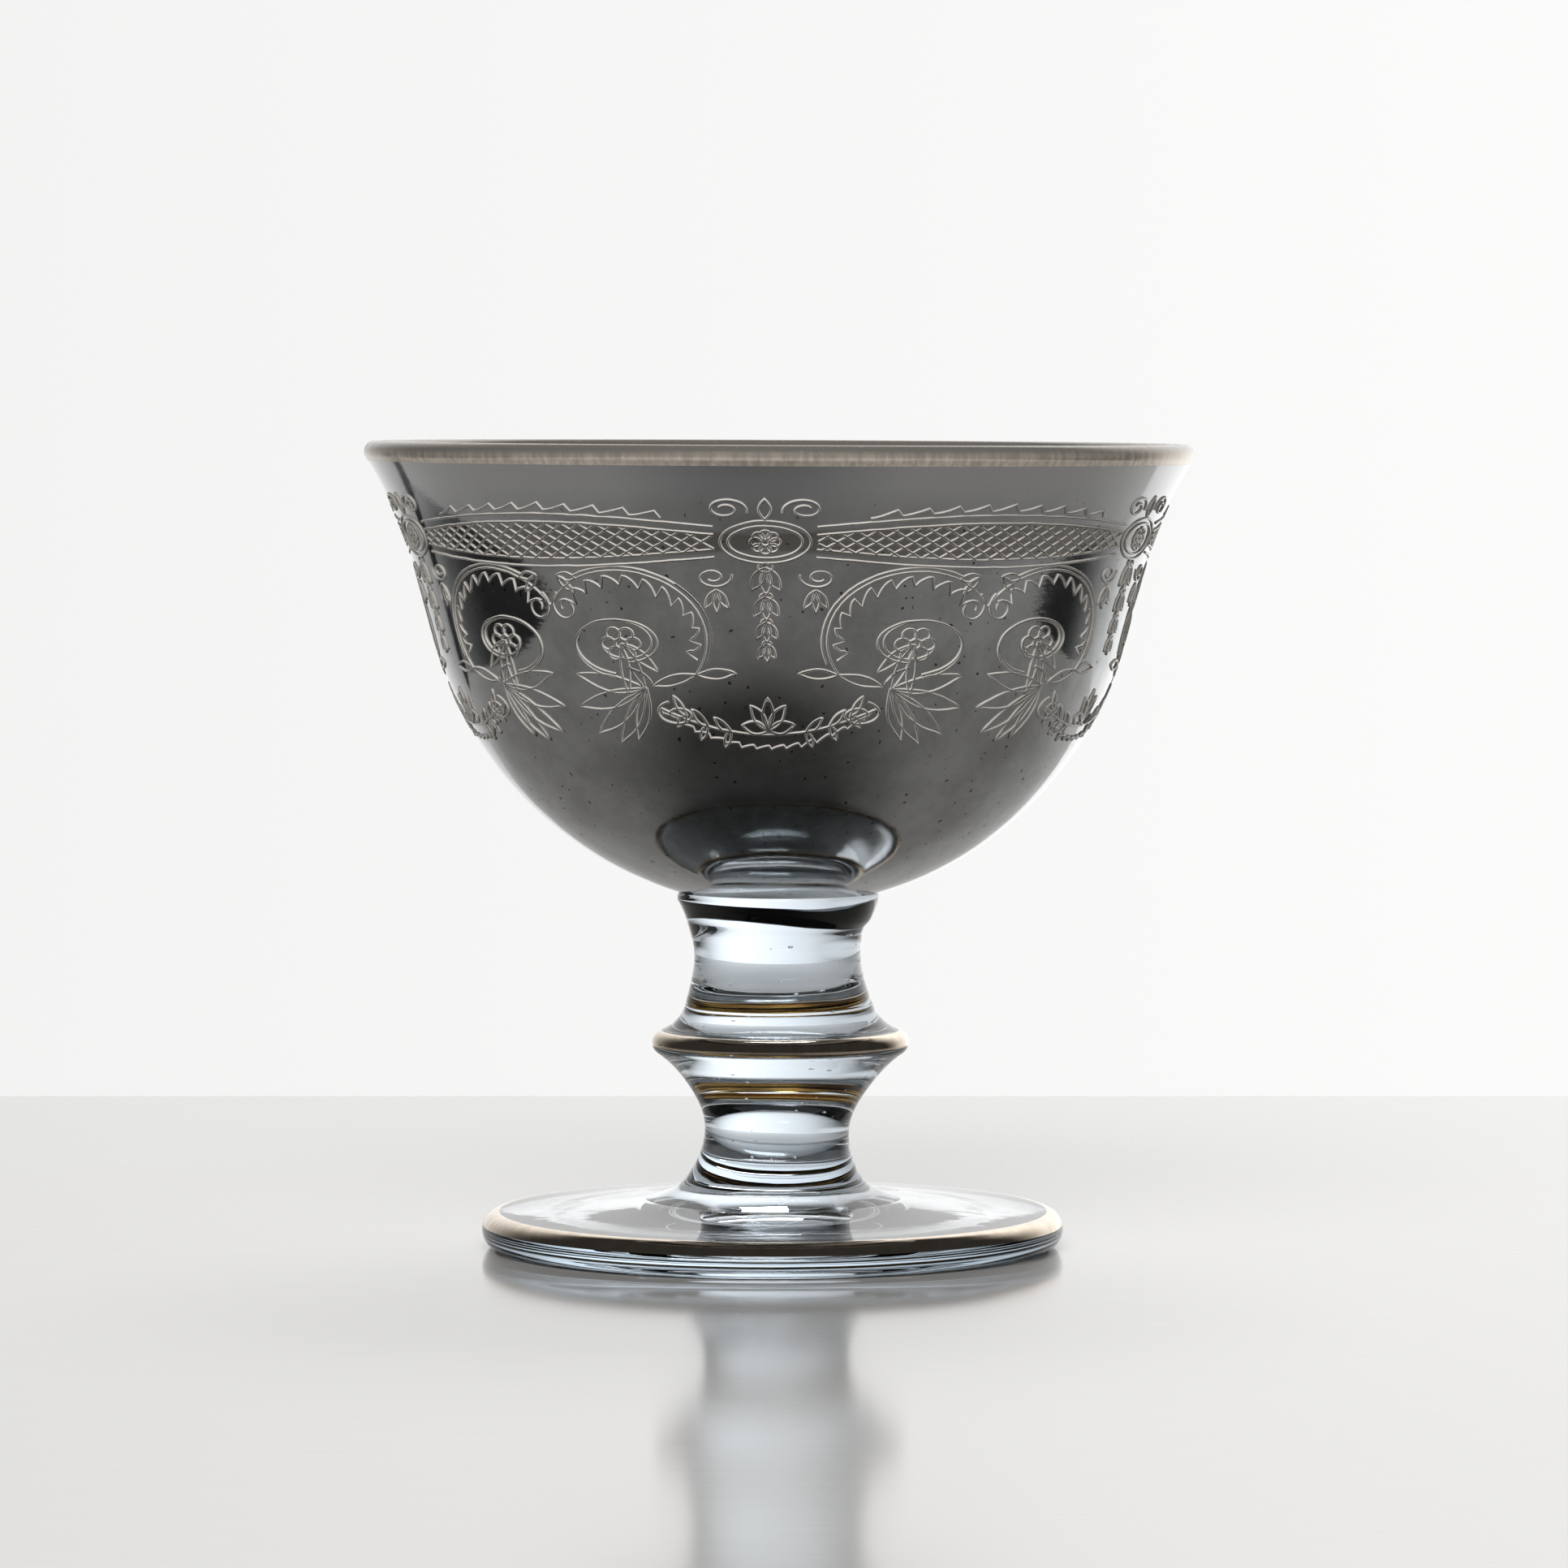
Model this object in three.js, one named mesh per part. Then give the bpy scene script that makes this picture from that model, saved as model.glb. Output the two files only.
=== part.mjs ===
// A footed bowl of clear glass with fired platinum decoration, in millimetres, +Z up.
// The origin is on the axis, in the plane the foot stands on.
//
// The bowl, its collar, the two stem lengths, the knop, the foot button and the foot disc are
// separate gathers of glass, fused face to face. The metal parts are fired-on skins: the mirror
// coat over the outside of the bowl, and a band on each of the lip, the knop and the foot.
import * as THREE from "three";

// Driving dimensions.
const overallHeight = 116.9;
const footRadius = 42.3;
const knopRadius = 18.76;
const coatThickness = 0.2;

// Flat faces round a full turn, and steps along each stretch of outline.
const segments = 40;
const steps = { cup: 7, flare: 5, hollow: 8, hollowFlare: 4, base: 3, bead: 9, band: 6, handle: 4 };

// The cup is part of a sphere, and a flare carries it out to the lip.
const cup = { radius: 51.5, centreZ: 101, hollowRadius: 49.2, hollowCentreZ: 102, topZ: 87 };
const lip = { beadRadius: 1.5, bandBottomZ: 114, outerRadius: 59.5, innerRadius: 57.05 };
lip.centre = { r: 58.55, z: overallHeight - lip.beadRadius };
const flareReach = { lower: 11, upper: 11.75, upperSlope: { r: 0.515, z: 0.857 } };

// Heights of the fused faces between the gathers, and the radius of each face.
const joints = {
  footTop: { r: 18.6, z: 7.0 },
  button: { r: 12.8, z: 10.1 },
  knopBottom: { r: 13.2, z: 23.5 },
  knopTop: { r: 13.6, z: 35.5 },
  collar: { r: 12.9, z: 47.0 },
  bowl: { r: 14.6 },
};
const waist = { lower: { r: 10.5, z: 17 }, upper: { r: 12.1, z: 42.4 } };

const point = (r, z) => new THREE.Vector2(r, z);

// Points on the cubic curve between two ends, each end with its own handle.
function curve(start, startHandle, endHandle, end, steps) {
  return new THREE.CubicBezierCurve(start, startHandle, endHandle, end).getPoints(steps);
}

// Points on a circle about (r, z), from one angle to another in degrees, 0 pointing away from the axis.
function arc(r, z, radius, fromDegrees, toDegrees, steps) {
  return Array.from({ length: steps + 1 }, (_, i) => {
    const angle = THREE.MathUtils.degToRad(fromDegrees + ((toDegrees - fromDegrees) * i) / steps);
    return point(r + radius * Math.cos(angle), z + radius * Math.sin(angle));
  });
}

// Joins stretches of outline, leaving out a point that repeats the one before it.
function outline(...stretches) {
  const joined = stretches.flat();
  return joined.filter((p, i) => i === 0 || p.distanceTo(joined[i - 1]) > 1e-6);
}

// An outline moved sideways towards its left, seen along its direction of travel.
function offset(points, distance) {
  return points.map((p, i) => {
    const before = points[Math.max(0, i - 1)];
    const after = points[Math.min(points.length - 1, i + 1)];
    const along = after.clone().sub(before).normalize();
    return point(p.x - along.y * distance, p.y + along.x * distance);
  });
}

// The cup's sphere from a radius out to cup.topZ, then the flare up to an end point.
function cupAndFlare(sphereRadius, centreZ, startRadius, end, arcSteps, flareSteps) {
  const startAngle = -THREE.MathUtils.radToDeg(Math.acos(startRadius / sphereRadius));
  const topAngle = -THREE.MathUtils.radToDeg(Math.asin((centreZ - cup.topZ) / sphereRadius));
  const sphere = arc(0, centreZ, sphereRadius, startAngle, topAngle, arcSteps);
  const top = sphere[sphere.length - 1];
  const topTangent = point(centreZ - top.y, top.x).normalize();
  const lowerHandle = top.clone().addScaledVector(topTangent, flareReach.lower);
  const slope = flareReach.upperSlope;
  const upperHandle = point(end.x - flareReach.upper * slope.r, end.y - flareReach.upper * slope.z);
  return outline(sphere, curve(top, lowerHandle, upperHandle, end, flareSteps));
}

const coatOutside = cupAndFlare(
  cup.radius, cup.centreZ, joints.bowl.r, point(lip.outerRadius, lip.bandBottomZ),
  steps.cup, steps.flare,
);
const coatInside = offset(coatOutside, coatThickness);
const bowlBase = arc(
  0, cup.centreZ, cup.radius - coatThickness, -90,
  -THREE.MathUtils.radToDeg(Math.acos(coatInside[0].x / (cup.radius - coatThickness))),
  steps.base,
);
bowlBase[bowlBase.length - 1] = coatInside[0];
const hollow = cupAndFlare(
  cup.hollowRadius, cup.hollowCentreZ, 0, point(lip.innerRadius, lip.bandBottomZ + 0.2),
  steps.hollow, steps.hollowFlare,
);

// The lip's bead, from outside over the top to inside.
const beadStart = -38;
const beadEnd = 222;
const beadOutside = arc(lip.centre.r, lip.centre.z, lip.beadRadius, beadStart, beadEnd, steps.bead);
const beadGlass = arc(
  lip.centre.r, lip.centre.z, lip.beadRadius - coatThickness, beadStart, beadEnd,
  steps.bead,
);
const lipOuterEdge = coatOutside[coatOutside.length - 1];
const lipGlassEdge = coatInside[coatInside.length - 1];
const lipInnerEdge = hollow[hollow.length - 1];

function bowlWall() {
  return outline(bowlBase, coatInside, beadGlass, [lipInnerEdge], hollow.slice().reverse());
}

function bowlCoat() {
  return outline(coatOutside, coatInside.slice().reverse(), [coatOutside[0]]);
}

function lipBand() {
  return outline(
    [lipGlassEdge, lipOuterEdge], beadOutside, [lipInnerEdge],
    beadGlass.slice().reverse(), [lipGlassEdge],
  );
}

function bowlCollar() {
  const side = curve(
    point(joints.collar.r, joints.collar.z), point(13.4, 48.2),
    point(14.9, 49.9), point(joints.bowl.r, coatOutside[0].y - 0.15), steps.handle,
  );
  const seat = bowlBase.slice().reverse();
  return outline([point(0, joints.collar.z)], side, seat);
}

function upperStem() {
  const { knopTop, collar } = joints;
  const lowerHalf = curve(
    point(knopTop.r, knopTop.z), point(13.0, 37.2),
    point(waist.upper.r, 40.2), point(waist.upper.r, waist.upper.z), steps.handle,
  );
  const upperHalf = curve(
    point(waist.upper.r, waist.upper.z), point(waist.upper.r, 44.3),
    point(12.5, 45.9), point(collar.r, collar.z), steps.handle,
  );
  return outline([point(0, knopTop.z)], lowerHalf, upperHalf, [point(0, collar.z)]);
}

// The knop's edge is a bead. Its band is let into the upper side of that bead.
const knopEdge = { z: 29.8, radius: 1.8, underAngle: -58 };
knopEdge.r = knopRadius - knopEdge.radius;
const knopBandAngles = { from: -12, to: 78 };

function knopEdgeArc(radius, from, to, count) {
  return arc(knopEdge.r, knopEdge.z, radius, from, to, count);
}

function knop() {
  const { knopBottom, knopTop } = joints;
  const { from, to } = knopBandAngles;
  const bareEdge = knopEdgeArc(knopEdge.radius, knopEdge.underAngle, from, 3);
  const bandSeat = knopEdgeArc(knopEdge.radius - coatThickness, from, to, steps.band);
  const under = curve(
    point(knopBottom.r, knopBottom.z), point(14.4, 25.1),
    point(15.4, 26.5), bareEdge[0], steps.handle,
  );
  const over = curve(
    knopEdgeArc(knopEdge.radius, to, to, 1)[0], point(15.6, 32.2),
    point(14.1, 33.6), point(knopTop.r, knopTop.z), steps.handle,
  );
  return outline(
    [point(0, knopBottom.z)], under, bareEdge, bandSeat, over, [point(0, knopTop.z)],
  );
}

function knopBand() {
  const { from, to } = knopBandAngles;
  const outside = knopEdgeArc(knopEdge.radius, from, to, steps.band);
  const inside = knopEdgeArc(knopEdge.radius - coatThickness, to, from, steps.band);
  return outline(outside, inside, [outside[0]]);
}

function lowerStem() {
  const { button, knopBottom } = joints;
  const lowerHalf = curve(
    point(button.r, button.z), point(11.6, 12.0),
    point(waist.lower.r, 14.2), point(waist.lower.r, waist.lower.z), steps.handle,
  );
  const upperHalf = curve(
    point(waist.lower.r, waist.lower.z), point(waist.lower.r, 19.4),
    point(11.9, 21.7), point(knopBottom.r, knopBottom.z), steps.handle,
  );
  return outline([point(0, button.z)], lowerHalf, upperHalf, [point(0, knopBottom.z)]);
}

function footButton() {
  const { footTop, button } = joints;
  const skirt = curve(
    point(footTop.r, footTop.z), point(17.2, 7.5),
    point(14.0, 8.1), point(button.r, button.z), steps.handle,
  );
  return outline([point(0, footTop.z)], skirt, [point(0, button.z)]);
}

// The foot stands on a flat ring round a shallow hollow. Its band lies on the rounded shoulder.
const footRing = { inner: 33, outer: 40.3, hollowZ: 1.1 };
const shoulder = { z: 2.8, radius: 2.4 };
shoulder.r = footRadius - shoulder.radius;
const footBandAngles = { from: 14, to: 92 };

function shoulderArc(radius, from, to, count) {
  return arc(shoulder.r, shoulder.z, radius, from, to, count);
}

function footDisc() {
  const hollowUnderside = curve(
    point(0, footRing.hollowZ), point(14, footRing.hollowZ),
    point(26, 0.75), point(footRing.inner, 0), steps.handle,
  );
  const edge = curve(
    point(footRing.outer, 0), point(41.5, 0.2),
    point(footRadius, 1.5), point(footRadius, shoulder.z), steps.handle,
  );
  const { from, to } = footBandAngles;
  const bandSeat = shoulderArc(shoulder.radius - coatThickness, from, to, steps.band);
  const { footTop } = joints;
  const top = curve(
    shoulderArc(shoulder.radius, to, to, 1)[0], point(33, 5.4),
    point(25, 6.1), point(footTop.r, footTop.z), steps.handle,
  );
  return outline(
    hollowUnderside, edge, shoulderArc(shoulder.radius, 0, from, 1), bandSeat, top,
    [point(0, footTop.z)],
  );
}

function footBand() {
  const { from, to } = footBandAngles;
  const outside = shoulderArc(shoulder.radius, from, to, steps.band);
  const inside = shoulderArc(shoulder.radius - coatThickness, to, from, steps.band);
  return outline(outside, inside, [outside[0]]);
}

const glass = { color: 0xeaf2f8, roughness: 0.03, metalness: 0, transparent: true, opacity: 0.35 };
const mirrorCoat = { color: 0xa3a5a6, roughness: 0.12, metalness: 1 };
const bandMetal = { color: 0xc8ab8c, roughness: 0.14, metalness: 1 };

// Spins an outline of (radius, height) points about Z.
function turned(name, profile, finish) {
  const geometry = new THREE.LatheGeometry(profile, segments);
  geometry.rotateX(Math.PI / 2);
  const mesh = new THREE.Mesh(geometry, new THREE.MeshStandardMaterial(finish));
  mesh.name = name;
  return mesh;
}

const bowl = new THREE.Group();
bowl.add(
  turned("foot_disc", footDisc(), glass),
  turned("foot_band", footBand(), bandMetal),
  turned("foot_button", footButton(), glass),
  turned("lower_stem", lowerStem(), glass),
  turned("knop", knop(), glass),
  turned("knop_band", knopBand(), bandMetal),
  turned("upper_stem", upperStem(), glass),
  turned("bowl_collar", bowlCollar(), glass),
  turned("bowl_wall", bowlWall(), glass),
  turned("bowl_coat", bowlCoat(), mirrorCoat),
  turned("lip_band", lipBand(), bandMetal),
);

export default bowl;
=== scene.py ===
import random
from math import acos, asin, cos, degrees, exp, hypot, pi, radians, sin

import bmesh
import bpy
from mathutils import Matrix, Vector, noise
from mathutils.geometry import interpolate_bezier


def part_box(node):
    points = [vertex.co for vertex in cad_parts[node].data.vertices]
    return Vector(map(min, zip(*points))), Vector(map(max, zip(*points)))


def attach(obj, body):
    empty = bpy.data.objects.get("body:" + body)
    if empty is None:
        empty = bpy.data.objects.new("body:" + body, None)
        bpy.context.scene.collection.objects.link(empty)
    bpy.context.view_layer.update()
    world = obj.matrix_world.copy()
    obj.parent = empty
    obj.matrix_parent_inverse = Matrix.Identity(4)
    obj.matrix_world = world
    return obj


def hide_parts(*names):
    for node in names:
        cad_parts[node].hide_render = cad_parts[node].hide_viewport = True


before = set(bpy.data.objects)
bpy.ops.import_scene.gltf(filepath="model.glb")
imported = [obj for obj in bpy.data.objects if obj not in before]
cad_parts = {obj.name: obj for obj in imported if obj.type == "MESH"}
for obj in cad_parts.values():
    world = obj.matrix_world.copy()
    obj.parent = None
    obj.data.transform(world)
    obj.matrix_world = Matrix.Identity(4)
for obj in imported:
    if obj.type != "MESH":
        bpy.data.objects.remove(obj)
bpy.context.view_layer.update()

millimetre = 0.001


# Sizes read from the frame, in millimetres.

def reach(node):
    low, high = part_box(node)
    return {"bottom": low.z / millimetre, "top": high.z / millimetre, "radius": high.x / millimetre}


footSize = reach("foot_disc")
buttonSize = reach("foot_button")
lowerStemSize = reach("lower_stem")
knopSize = reach("knop")
upperStemSize = reach("upper_stem")
collarSize = reach("bowl_collar")
lipSize = reach("lip_band")


# How the hand-blown piece departs from a true turned form.

handMade = {
    "wobble": 0.09,           # how far the hot glass strays from round
    "wobbleSize": 16.0,
    "ripple": 0.02,
    "rippleSize": 5.0,
    "leanHeights": [0, 30, 42, 48, 54, 117],
    "leanAmounts": [0.0, 1.15, 0.8, 0.5, 1.2, 1.0],
    "lipTilt": radians(0.27),
    "collarTilt": radians(4.0),
    "collarHeight": 48.6,
    "collarSpread": 1.7,
    "rippleShift": (7, 3, 1),
    "steadyHeight": 10,       # below this the foot stays true, where it stands
    "leastRadius": 6.0,
    "tiltFrom": 60, "tiltSpan": 57,
}


# An amount at a height, eased from one given height to the next.
def blendBetween(heights, amounts, height):
    for i in range(len(heights) - 1):
        if height <= heights[i + 1]:
            t = (height - heights[i]) / (heights[i + 1] - heights[i])
            t = max(0.0, t)
            t = t * t * (3 - 2 * t)
            return amounts[i] + (amounts[i + 1] - amounts[i]) * t
    return amounts[-1]


def shapedByHand(co):
    h = handMade
    out = co.copy()
    across = hypot(co.x, co.y)
    if across > 1e-6:
        slow = noise.noise(co / h["wobbleSize"]) * h["wobble"]
        quick = noise.noise(co / h["rippleSize"] + Vector(h["rippleShift"])) * h["ripple"]
        loose = min(1.0, co.z / h["steadyHeight"])
        grow = 1 + (slow + quick) * loose / max(across, h["leastRadius"])
        out.x *= grow
        out.y *= grow
    near = exp(-((co.z - h["collarHeight"]) / h["collarSpread"]) ** 2)
    out.z -= h["collarTilt"] * co.x * near
    out.x += blendBetween(h["leanHeights"], h["leanAmounts"], co.z)
    upper = max(0.0, (co.z - h["tiltFrom"]) / h["tiltSpan"])
    out.z -= h["lipTilt"] * co.x * upper
    return out


# Outlines.

def handleCurve(start, startHandle, endHandle, end, count):
    ends = [Vector((r, z, 0)) for r, z in (start, startHandle, endHandle, end)]
    return [(p.x, p.y) for p in interpolate_bezier(*ends, count + 1)]


def roundStretch(r, z, radius, fromDegrees, toDegrees, count):
    turns = [radians(fromDegrees + (toDegrees - fromDegrees) * i / count) for i in range(count + 1)]
    return [(r + radius * cos(t), z + radius * sin(t)) for t in turns]


def straight(start, end, count):
    return [
        (start[0] + (end[0] - start[0]) * i / count, start[1] + (end[1] - start[1]) * i / count)
        for i in range(count + 1)
    ]


def movedLeft(points, distance):
    moved = []
    for i, (r, z) in enumerate(points):
        before = points[max(0, i - 1)]
        after = points[min(len(points) - 1, i + 1)]
        along = Vector((after[0] - before[0], after[1] - before[1])).normalized()
        moved.append((r - along.y * distance, z + along.x * distance))
    return moved


# Spinning an outline into a closed piece.

spinning = {"steps": 176, "cornerAngle": radians(38)}


# Spins one stretch of outline and adds it to the piece.
def addSpun(bm, points, isFused, slot):
    part = bmesh.new()
    fused = part.faces.layers.float.new("fused")
    verts = [part.verts.new((r, 0, z)) for r, z in points]
    edges = [part.edges.new(pair) for pair in zip(verts, verts[1:])]
    bmesh.ops.spin(
        part, geom=verts + edges, axis=(0, 0, 1), cent=(0, 0, 0), steps=spinning["steps"],
        angle=2 * pi, use_merge=True,
    )
    for face in part.faces:
        face[fused] = 1.0 if isFused else 0.0
        face.material_index = slot
    carrier = bpy.data.meshes.new("stretch")
    part.to_mesh(carrier)
    part.free()
    bm.from_mesh(carrier)
    bpy.data.meshes.remove(carrier)


# A closed piece from stretches of outline: points, whether the face is fused, and a material slot.
def spunPiece(name, stretches, materials):
    bm = bmesh.new()
    for points, isFused, slot in stretches:
        addSpun(bm, points, isFused, slot)
    bmesh.ops.remove_doubles(bm, verts=bm.verts, dist=1e-4)
    bmesh.ops.dissolve_degenerate(bm, edges=bm.edges, dist=1e-5)
    bmesh.ops.recalc_face_normals(bm, faces=bm.faces)
    for face in bm.faces:
        face.smooth = True
    for edge in bm.edges:
        if edge.calc_face_angle(0) > spinning["cornerAngle"]:
            edge.smooth = False
    for vert in bm.verts:
        vert.co = shapedByHand(vert.co) * millimetre
    return finished(name, bm, materials)


def finished(name, bm, materials):
    mesh = bpy.data.meshes.new(name)
    bm.to_mesh(mesh)
    bm.free()
    for material in materials:
        mesh.materials.append(material)
    piece = bpy.data.objects.new(name, mesh)
    bpy.context.scene.collection.objects.link(piece)
    return piece


def placed(piece, slot, *nodes):
    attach(piece, "root")
    if nodes:
        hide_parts(*nodes)
    print("made", piece.name, len(piece.data.polygons), "faces")


# Shader maths.

class Wire:
    # One output of a shader node. Sums of wires and numbers add Math nodes.
    def __init__(self, shader, socket):
        self.shader = shader
        self.socket = socket

    def sum(self, operation, *values):
        return self.shader.node(
            "ShaderNodeMath", {"operation": operation}, dict(enumerate(values))
        ).out(0)

    def __add__(self, other):
        return self.sum("ADD", self, other)

    def __radd__(self, other):
        return self.sum("ADD", other, self)

    def __sub__(self, other):
        return self.sum("SUBTRACT", self, other)

    def __rsub__(self, other):
        return self.sum("SUBTRACT", other, self)

    def __mul__(self, other):
        return self.sum("MULTIPLY", self, other)

    def __rmul__(self, other):
        return self.sum("MULTIPLY", other, self)

    def size(self):
        return self.sum("ABSOLUTE", self)

    def between(self, low, high):     # 0 at low, 1 at high, smooth in between
        return self.shader.node(
            "ShaderNodeMapRange", {"interpolation_type": "SMOOTHSTEP"},
            {"Value": self, "From Min": low, "From Max": high},
        ).out(0)


class Placed:
    def __init__(self, shader, item):
        self.shader = shader
        self.item = item

    def out(self, key):
        return Wire(self.shader, self.item.outputs[key])


class Shader:
    def __init__(self, tree):
        self.tree = tree
        tree.nodes.clear()

    # The one way a node is made: its type, its settings, then the values or wires of its sockets.
    def node(self, kind, settings, sockets):
        item = self.tree.nodes.new(kind)
        for key, value in settings.items():
            setattr(item, key, value)
        for key, value in sockets.items():
            if isinstance(value, Wire):
                self.tree.links.new(value.socket, item.inputs[key])
            else:
                item.inputs[key].default_value = value
        return Placed(self, item)

    def place(self, stretch=(1, 1, 1)):
        spot = self.node("ShaderNodeTexCoord", {}, {}).out("Object")
        return self.node("ShaderNodeMapping", {}, {"Vector": spot, "Scale": stretch}).out(0)

    def noise(self, where, scale, detail=3.0, roughness=0.5):
        return self.node(
            "ShaderNodeTexNoise", {},
            {"Vector": where, "Scale": scale, "Detail": detail, "Roughness": roughness},
        ).out("Fac")

    def length(self, where):
        return self.node(
            "ShaderNodeVectorMath", {"operation": "LENGTH"}, {0: where},
        ).out("Value")

    def axes(self, where):
        parts = self.node("ShaderNodeSeparateXYZ", {}, {0: where})
        return parts.out(0), parts.out(1), parts.out(2)

    def mixed(self, factor, first, second):
        return self.node(
            "ShaderNodeMix", {"data_type": "RGBA"}, {0: factor, 6: first, 7: second}
        ).out(2)

    def bump(self, height, distance):
        return self.node("ShaderNodeBump", {}, {"Height": height, "Distance": distance}).out(0)


def newMaterial(name):
    material = bpy.data.materials.new(name)
    material.use_nodes = True
    return material, Shader(material.node_tree)


def finishSurface(shader, sockets):
    surface = shader.node("ShaderNodeBsdfPrincipled", {}, sockets)
    shader.node("ShaderNodeOutputMaterial", {}, {"Surface": surface.out(0)})


# Materials.

glassLook = {
    "tint": (0.80, 0.90, 1.0, 1),
    "paleTint": (0.90, 0.955, 1.0, 1),
    "cloudSize": 60.0,
    "footTint": (0.93, 0.96, 0.985, 1),
    "footEdgeTint": (0.68, 0.84, 1.0, 1),
    "footEdge": (0.0392, 0.0410),
    "footCloud": 0.5,
    "refraction": 1.5,
    "haze": 0.03, "hazyFrom": 0.45, "hazyTo": 0.9,
    "skinDepth": 0.00002, "skinSize": 160.0, "skinDetail": 2.0,
}


# The thick edge of the foot is bluer than the rest of it.
def makeGlass(name, isFoot):
    look = glassLook
    material, shader = newMaterial(name)
    where = shader.place()
    clouds = shader.noise(where, look["cloudSize"])
    skin = shader.noise(where, look["skinSize"], look["skinDetail"])
    fused = shader.node("ShaderNodeAttribute", {"attribute_name": "fused"}, {}).out("Fac")
    if isFoot:
        across = shader.length(shader.place((1, 1, 0)))
        atEdge = across.between(*look["footEdge"])
        deep = shader.mixed(atEdge, look["footTint"], look["footEdgeTint"])
        tint = shader.mixed(clouds * look["footCloud"], deep, look["paleTint"])
    else:
        tint = shader.mixed(clouds, look["tint"], look["paleTint"])
    finishSurface(shader, {
        "Base Color": tint,
        "Roughness": clouds.between(look["hazyFrom"], look["hazyTo"]) * look["haze"],
        "IOR": look["refraction"],
        "Transmission Weight": 1.0,
        "Alpha": 1 - fused,      # faces fused to the next gather don't show
        "Normal": shader.bump(skin, look["skinDepth"]),
    })
    return material


platinumLook = {
    "pale": (0.53, 0.54, 0.55, 1), "dark": (0.38, 0.385, 0.385, 1),
    "cloudSize": 90.0, "cloudDetail": 6.0, "cloudGrit": 0.72, "cloudEdges": (0.3, 0.7),
    "polish": 0.045, "haze": 0.07,
    "speckleSize": 900.0, "speckleDetail": 2.0, "speckleDepth": 0.000005,
    "brushStretch": (1, 1, 6), "brushSize": 260.0, "brushDetail": 3.0, "brushShare": 0.7,
    "paleTowardsLip": (0.57, 0.575, 0.58, 1), "paleTowardsLipHeights": (0.104, 0.1125), "lipDulling": 0.22,
    "pinholeSize": 1300.0, "pinholeEdges": (0.79, 0.83), "pinholeTone": (0.10, 0.09, 0.08, 1),
}

# The darker field behind the lattice. It follows the lattice's values further down, in metres.
fieldLook = {
    "tone": (0.31, 0.30, 0.285, 1), "middle": 0.1035, "end": 0.0010, "bulge": 0.0014,
    "softness": 0.0004, "turn": radians(2.0), "repeats": 5,
}


# 1 on the lattice's field and 0 off it.
def latticeField(x, y, height):
    look = fieldLook
    turn = (x.sum("ARCTAN2", x, -1 * y) + look["turn"]) * (look["repeats"] / 2)
    swelling = turn.sum("SINE", turn).size()
    halfHeight = look["end"] + swelling * look["bulge"]
    past = (height - look["middle"]).size() - halfHeight
    return 1 - past.between(-look["softness"], look["softness"])


def makePlatinum():
    look = platinumLook
    material, shader = newMaterial("platinumMirror")
    where = shader.place()
    clouds = shader.noise(where, look["cloudSize"], look["cloudDetail"], look["cloudGrit"])
    clouds = clouds.between(*look["cloudEdges"])
    brushed = shader.noise(
        shader.place(look["brushStretch"]), look["brushSize"], look["brushDetail"],
    )
    speckle = shader.noise(where, look["speckleSize"], look["speckleDetail"])
    pinholes = shader.noise(where, look["pinholeSize"], 0.0).between(*look["pinholeEdges"])
    x, y, height = shader.axes(where)
    inField = latticeField(x, y, height)
    # Paler and less metallic towards the lip, outside the lattice field.
    towardsLip = height.between(*look["paleTowardsLipHeights"]) * (1 - inField)
    plain = shader.mixed(clouds, look["dark"], look["pale"])
    fielded = shader.mixed(inField, plain, fieldLook["tone"])
    spotted = shader.mixed(pinholes, fielded, look["pinholeTone"])
    finishSurface(shader, {
        "Base Color": shader.mixed(towardsLip, spotted, look["paleTowardsLip"]),
        "Metallic": 1 - towardsLip * look["lipDulling"],
        "Roughness": look["polish"] + clouds * look["haze"],
        "Normal": shader.bump(speckle + brushed * look["brushShare"], look["speckleDepth"]),
    })
    return material


bandStreaks = {
    "stretch": (1, 1, 0.12), "detail": 4.0, "grit": 0.6,
    "toneEdges": (0.3, 0.7), "dullEdges": (0.4, 0.8),
}
polishedBand = {
    "pale": (0.90, 0.77, 0.63, 1), "dark": (0.74, 0.62, 0.49, 1),
    "streakSize": 500.0, "streakDepth": 0.000004, "metallic": 1.0, "polish": 0.05,
}
lipBandLook = {
    "pale": (1.0, 0.89, 0.76, 1), "dark": (0.30, 0.275, 0.245, 1),
    "streakSize": 1100.0, "streakDepth": 0.000015, "metallic": 0.6, "polish": 0.16,
    "streakStrength": 0.5,
    "paintedHighlightStripe": (0.1135, 0.1139, 0.1148, 0.1163),    # heights where the painted highlight stripe starts and ends; outside it the lip is painted dark, as painted shade
}


# Polished for the knop and the foot, and streaky where the brush went round the lip, where a painted
# highlight stripe runs between painted shade.
def makeBandMetal(name, look):
    material, shader = newMaterial(name)
    streaks = shader.noise(
        shader.place(bandStreaks["stretch"]), look["streakSize"],
        bandStreaks["detail"], bandStreaks["grit"],
    )
    light = streaks.between(*bandStreaks["toneEdges"])
    # On the lip a pale stripe by height is a painted highlight, and the dark above and below it is
    # painted shade.
    if "paintedHighlightStripe" in look:
        _, _, height = shader.axes(shader.place())
        low, lowEnd, high, highEnd = look["paintedHighlightStripe"]
        soft = 1 - (1 - light) * look["streakStrength"]
        light = soft * height.between(low, lowEnd) * (1 - height.between(high, highEnd))
    dulling = streaks.between(*bandStreaks["dullEdges"]) * look["polish"]
    finishSurface(shader, {
        "Base Color": shader.mixed(light, look["dark"], look["pale"]),
        "Metallic": look["metallic"],
        "Roughness": look["polish"] + dulling,
        "Normal": shader.bump(streaks, look["streakDepth"]),
    })
    return material


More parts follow.
